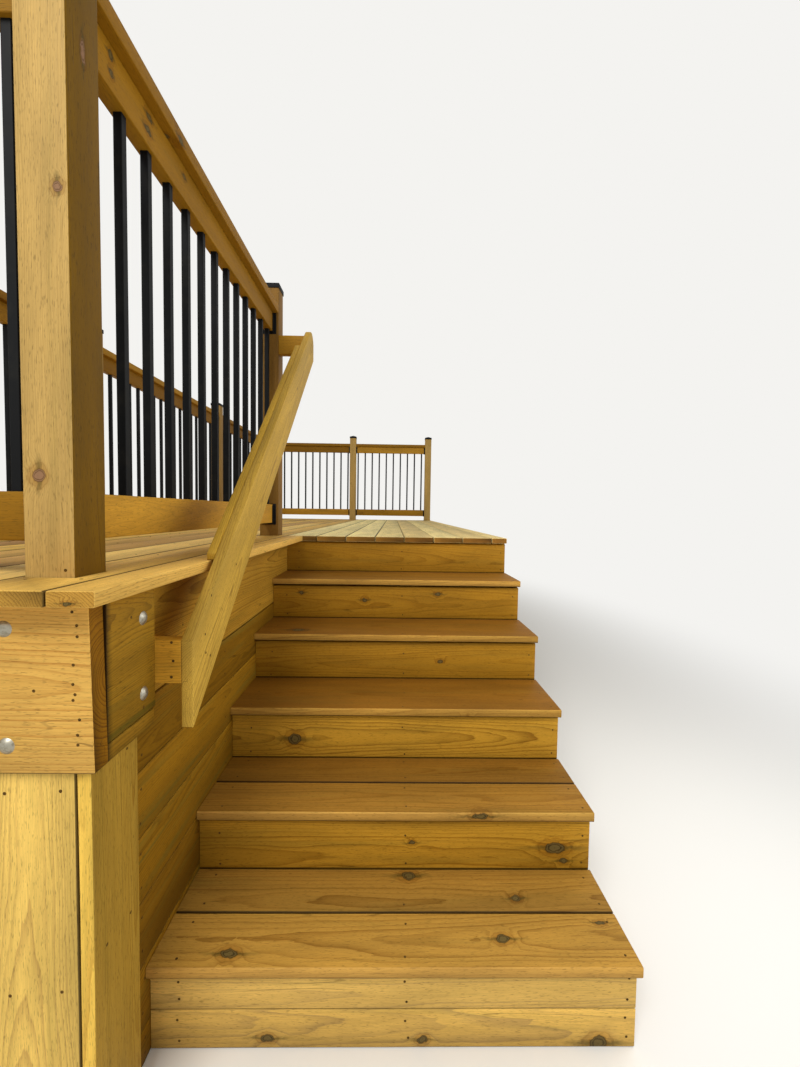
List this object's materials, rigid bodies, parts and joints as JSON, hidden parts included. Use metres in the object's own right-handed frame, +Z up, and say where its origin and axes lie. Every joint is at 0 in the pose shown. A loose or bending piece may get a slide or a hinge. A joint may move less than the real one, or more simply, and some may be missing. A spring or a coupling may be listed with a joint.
{
  "type": "wooden deck stairs",
  "caption": "Treated pine deck stairs: closed-riser flight rising to a boarded deck with black-baluster guard rail and a sloping plank handrail.",
  "frame": {"origin": "centre of the part's footprint on the ground, under the middle of its bounding box", "axes": "+Z up; +Y from the foot of the flight towards the back of the deck; +X towards the house wall"},
  "size_m": [2.5038, 6.318, 2.2855],
  "materials": {
    "tread_pine": "treated pine boards, bare, slightly waxy sheen",
    "riser_pine": "treated pine boards, bare, in shade",
    "decking_pine": "treated pine boards, bare, sunlit and pale",
    "skirting_pine": "treated pine boards, bare, greenish streaks",
    "rail_pine": "treated pine, bare",
    "post_pine": "treated pine, bare",
    "frame_pine": "treated pine planks, bare",
    "black_baluster": "satin black powder coat",
    "black_bracket": "satin black powder coat",
    "galvanised_bolt": "dull zinc coat"
  },
  "bodies": {
    "root": {"tread_1": "tread_pine", "tread_2": "tread_pine", "tread_3": "tread_pine", "tread_4": "tread_pine", "tread_5": "tread_pine", "risers": "riser_pine", "stringers": "frame_pine", "wing_decking": "decking_pine", "landing_decking": "decking_pine", "front_fascia": "frame_pine", "front_rim": "frame_pine", "side_rim": "frame_pine", "side_ply": "frame_pine", "left_rim": "frame_pine", "back_rim": "frame_pine", "landing_header": "frame_pine", "house_ledger": "frame_pine", "deck_joists": "frame_pine", "corner_post": "post_pine", "newel_post": "post_pine", "left_posts": "post_pine", "back_posts": "post_pine", "post_caps": "black_bracket", "near_bottom_rail": "rail_pine", "near_top_rail": "rail_pine", "near_cap_rail": "rail_pine", "near_balusters": "black_baluster", "front_bottom_rail": "rail_pine", "front_top_rail": "rail_pine", "front_cap_rail": "rail_pine", "front_balusters": "black_baluster", "left_bottom_rails": "rail_pine", "left_top_rails": "rail_pine", "left_cap_rails": "rail_pine", "left_balusters": "black_baluster", "back_bottom_rails": "rail_pine", "back_top_rails": "rail_pine", "back_cap_rails": "rail_pine", "back_balusters": "black_baluster", "rail_brackets": "black_bracket", "handrail": "rail_pine", "handrail_strip": "rail_pine", "handrail_lower_block": "rail_pine", "handrail_upper_block": "rail_pine", "side_skirting": "skirting_pine", "corner_board": "skirting_pine", "front_skirting": "skirting_pine", "left_skirting": "skirting_pine", "back_skirting": "skirting_pine", "skirting_nailers": "frame_pine", "rim_bolts": "galvanised_bolt", "bolt_nuts": "galvanised_bolt"}
  },
  "joints": []
}
